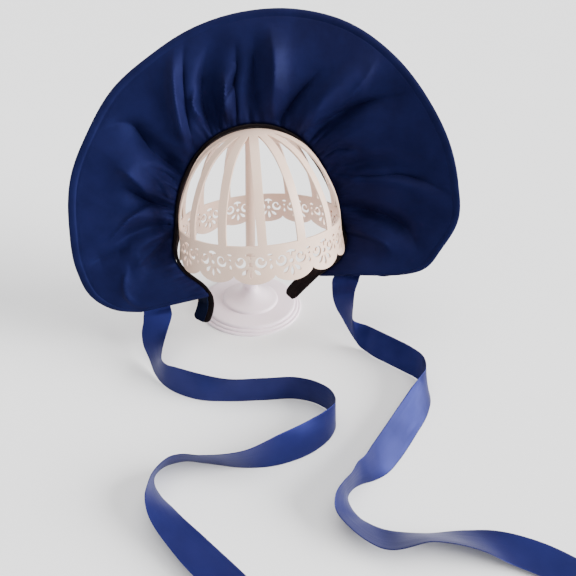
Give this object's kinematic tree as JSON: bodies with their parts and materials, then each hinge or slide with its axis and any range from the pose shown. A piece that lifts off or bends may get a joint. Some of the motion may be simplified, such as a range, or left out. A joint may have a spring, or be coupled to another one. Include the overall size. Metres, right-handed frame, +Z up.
{
  "type": "lolita bonnet on an openwork dome stand",
  "caption": "Half bonnet with a wide gathered satin brim, a velvet head band and two long ribbon ties, on an openwork metal dome stand with a turned foot.",
  "frame": {"origin": "centre of the foot's underside", "axes": "+Z up along the post, +X to the picture's right (the wearer's left), +Y to the back, away from the face opening"},
  "size_m": [0.3712, 0.3519, 0.2615],
  "materials": {
    "foot_paint": "satin lavender white paint",
    "cream_paint": "satin warm cream paint",
    "navy_satin": "navy satin",
    "black_velvet": "black velvet",
    "royal_ribbon": "royal blue satin ribbon"
  },
  "bodies": {
    "root": {"stand_foot": "foot_paint", "stand_post": "cream_paint", "stand_dome": "cream_paint", "head_band": "black_velvet", "band_facing": "navy_satin", "brim": "navy_satin", "ribbon_left": "royal_ribbon", "ribbon_right": "royal_ribbon"}
  },
  "joints": []
}
